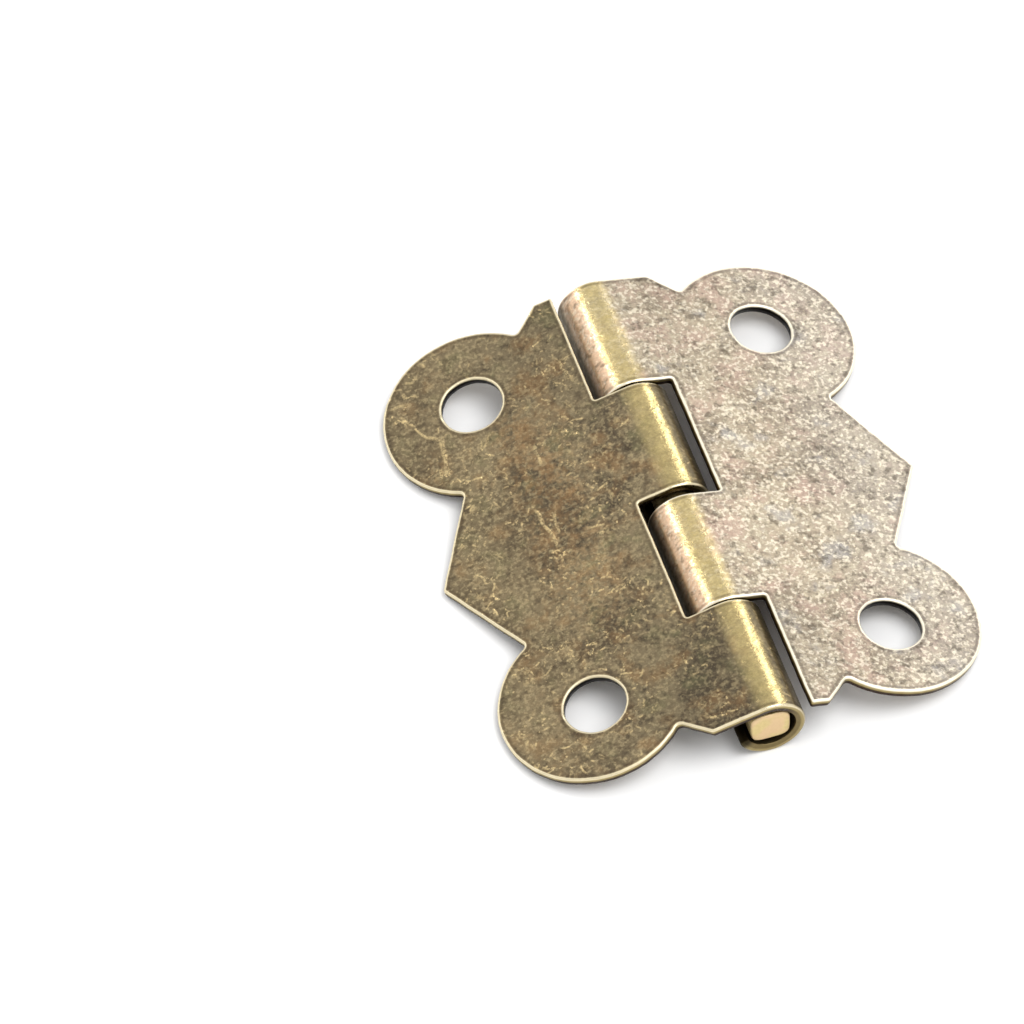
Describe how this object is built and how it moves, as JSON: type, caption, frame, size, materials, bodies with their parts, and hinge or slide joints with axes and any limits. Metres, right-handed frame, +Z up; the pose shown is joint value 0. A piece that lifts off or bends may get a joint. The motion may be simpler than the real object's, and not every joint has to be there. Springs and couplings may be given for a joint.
{
  "type": "butterfly hinge",
  "caption": "Small butterfly hinge stamped from thin brass sheet: lobed leaves with screw holes, rolled round a pin, fold flat to join a lid or door to its box.",
  "frame": {"origin": "on the surface that the open hinge lies on, under the middle of its pin", "axes": "+X across the leaves towards the right leaf, +Y along the pin towards the far end, +Z up; the barrel stands out below the leaves"},
  "size_m": [0.0218, 0.0252, 0.0031],
  "materials": {
    "antique_brass": "antique brass: dark wash over brass, rubbed bright on edges and knuckles, finely scratched",
    "pin_brass": "plain bright brass wire"
  },
  "bodies": {
    "left_half": {"left_leaf": "antique_brass", "hinge_pin": "pin_brass"},
    "right_half": {"right_leaf": "antique_brass"}
  },
  "joints": [
    {"name": "pin_turn", "type": "hinge", "parent": "left_half", "child": "right_half", "pos_m": [0, 0, 0.00155], "axis": [0, 1, 0], "range_deg": [-114, 162]}
  ]
}
